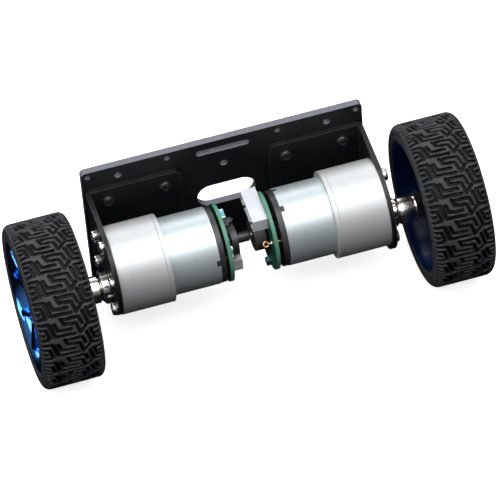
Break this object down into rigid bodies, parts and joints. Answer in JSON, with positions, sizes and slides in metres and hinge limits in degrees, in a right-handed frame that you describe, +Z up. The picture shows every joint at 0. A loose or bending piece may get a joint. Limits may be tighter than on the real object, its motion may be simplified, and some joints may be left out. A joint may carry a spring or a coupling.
{
  "type": "self balancing robot",
  "caption": "Two-wheel self balancing robot base: a drilled back plate carries two geared motors with encoders on angle brackets, each driving a tyred spoked wheel.",
  "frame": {"origin": "on the floor under the middle of the whole robot", "axes": "+X along the axle to the right, +Y from the motors to the back plate, +Z up; it stands on both tyres and the plate's lower edge"},
  "size_m": [0.1922, 0.073, 0.0695],
  "materials": {
    "black_paint": "satin powder coat",
    "black_screw": "black oxide",
    "zinc_nut": "zinc plated",
    "bright_screw": "bright nickel",
    "hard_steel": "ground",
    "brush_brass": "plain",
    "gearbox_metal": "matte nickel plate",
    "bronze": "sintered",
    "gear_steel": "sintered and oiled",
    "pinion_brass": "cut",
    "can_steel": "matte nickel plate",
    "ferrite": "matte",
    "core_steel": "laminated",
    "copper_wire": "enamelled",
    "cap_plastic": "moulded",
    "magnet_plastic": "moulded",
    "circuit_board": "solder mask",
    "header_plastic": "moulded",
    "component_body": "moulded",
    "bright_hub": "bright nickel",
    "blue_rim": "metallic plated",
    "tyre_rubber": "moulded",
    "foam": "open cell"
  },
  "bodies": {
    "chassis": {"chassis_plate": "black_paint", "bracket_screws": "black_screw", "bracket_nuts": "zinc_nut", "motor_screws": "bright_screw", "idler_pins": "hard_steel", "motor_brushes": "brush_brass", "left_motor_bracket": "black_paint", "left_gearbox_base": "gearbox_metal", "left_gearbox_case": "gearbox_metal", "left_gearbox_cover": "gearbox_metal", "left_output_bushing": "bronze", "left_motor_can": "can_steel", "left_field_magnets": "ferrite", "left_end_cap": "cap_plastic", "left_encoder_board": "circuit_board", "left_board_header": "header_plastic", "left_board_parts": "component_body", "right_motor_bracket": "black_paint", "right_gearbox_base": "gearbox_metal", "right_gearbox_case": "gearbox_metal", "right_gearbox_cover": "gearbox_metal", "right_output_bushing": "bronze", "right_motor_can": "can_steel", "right_field_magnets": "ferrite", "right_end_cap": "cap_plastic", "right_encoder_board": "circuit_board", "right_board_header": "header_plastic", "right_board_parts": "component_body"},
    "left_wheel": {"left_wheel_rim": "blue_rim", "left_tyre": "tyre_rubber", "left_tyre_insert": "foam", "left_wheel_hub": "bright_hub", "left_hub_set_screw": "black_screw", "left_wheel_screw": "black_screw", "left_output_shaft": "hard_steel", "left_output_gear": "gear_steel"},
    "left_second_idler": {"left_second_idler": "gear_steel"},
    "left_first_idler": {"left_first_idler": "gear_steel"},
    "left_rotor": {"left_motor_shaft": "hard_steel", "left_motor_pinion": "pinion_brass", "left_armature_core": "core_steel", "left_armature_windings": "copper_wire", "left_commutator": "copper_wire", "left_encoder_magnet": "magnet_plastic"},
    "right_wheel": {"right_wheel_rim": "blue_rim", "right_tyre": "tyre_rubber", "right_tyre_insert": "foam", "right_wheel_hub": "bright_hub", "right_hub_set_screw": "black_screw", "right_wheel_screw": "black_screw", "right_output_shaft": "hard_steel", "right_output_gear": "gear_steel"},
    "right_second_idler": {"right_second_idler": "gear_steel"},
    "right_first_idler": {"right_first_idler": "gear_steel"},
    "right_rotor": {"right_motor_shaft": "hard_steel", "right_motor_pinion": "pinion_brass", "right_armature_core": "core_steel", "right_armature_windings": "copper_wire", "right_commutator": "copper_wire", "right_encoder_magnet": "magnet_plastic"}
  },
  "joints": [
    {"name": "left_wheel_spin", "type": "hinge", "parent": "chassis", "child": "left_wheel", "pos_m": [-0.08315, -0.00178, 0.03475], "axis": [1, 0, 0], "continuous": true},
    {"name": "left_second_idler_spin", "type": "hinge", "parent": "chassis", "child": "left_second_idler", "pos_m": [-0.048, 0.00637, 0.03807], "axis": [1, 0, 0], "continuous": true},
    {"name": "left_first_idler_spin", "type": "hinge", "parent": "chassis", "child": "left_first_idler", "pos_m": [-0.0425, 0.00643, 0.04687], "axis": [1, 0, 0], "continuous": true},
    {"name": "left_rotor_spin", "type": "hinge", "parent": "chassis", "child": "left_rotor", "pos_m": [-0.026, 0.00202, 0.03925], "axis": [1, 0, 0], "continuous": true},
    {"name": "right_wheel_spin", "type": "hinge", "parent": "chassis", "child": "right_wheel", "pos_m": [0.08315, -0.00178, 0.03475], "axis": [1, 0, 0], "continuous": true},
    {"name": "right_second_idler_spin", "type": "hinge", "parent": "chassis", "child": "right_second_idler", "pos_m": [0.048, 0.00637, 0.03807], "axis": [1, 0, 0], "continuous": true},
    {"name": "right_first_idler_spin", "type": "hinge", "parent": "chassis", "child": "right_first_idler", "pos_m": [0.0425, 0.00643, 0.04687], "axis": [1, 0, 0], "continuous": true},
    {"name": "right_rotor_spin", "type": "hinge", "parent": "chassis", "child": "right_rotor", "pos_m": [0.026, 0.00202, 0.03925], "axis": [1, 0, 0], "continuous": true}
  ],
  "couplings": [
    {"joint": "left_second_idler_spin", "follows": "left_wheel_spin", "ratio": -2.6667},
    {"joint": "left_first_idler_spin", "follows": "left_wheel_spin", "ratio": 7.1111},
    {"joint": "left_rotor_spin", "follows": "left_wheel_spin", "ratio": -18.963},
    {"joint": "right_second_idler_spin", "follows": "right_wheel_spin", "ratio": -2.6667},
    {"joint": "right_first_idler_spin", "follows": "right_wheel_spin", "ratio": 7.1111},
    {"joint": "right_rotor_spin", "follows": "right_wheel_spin", "ratio": -18.963}
  ]
}
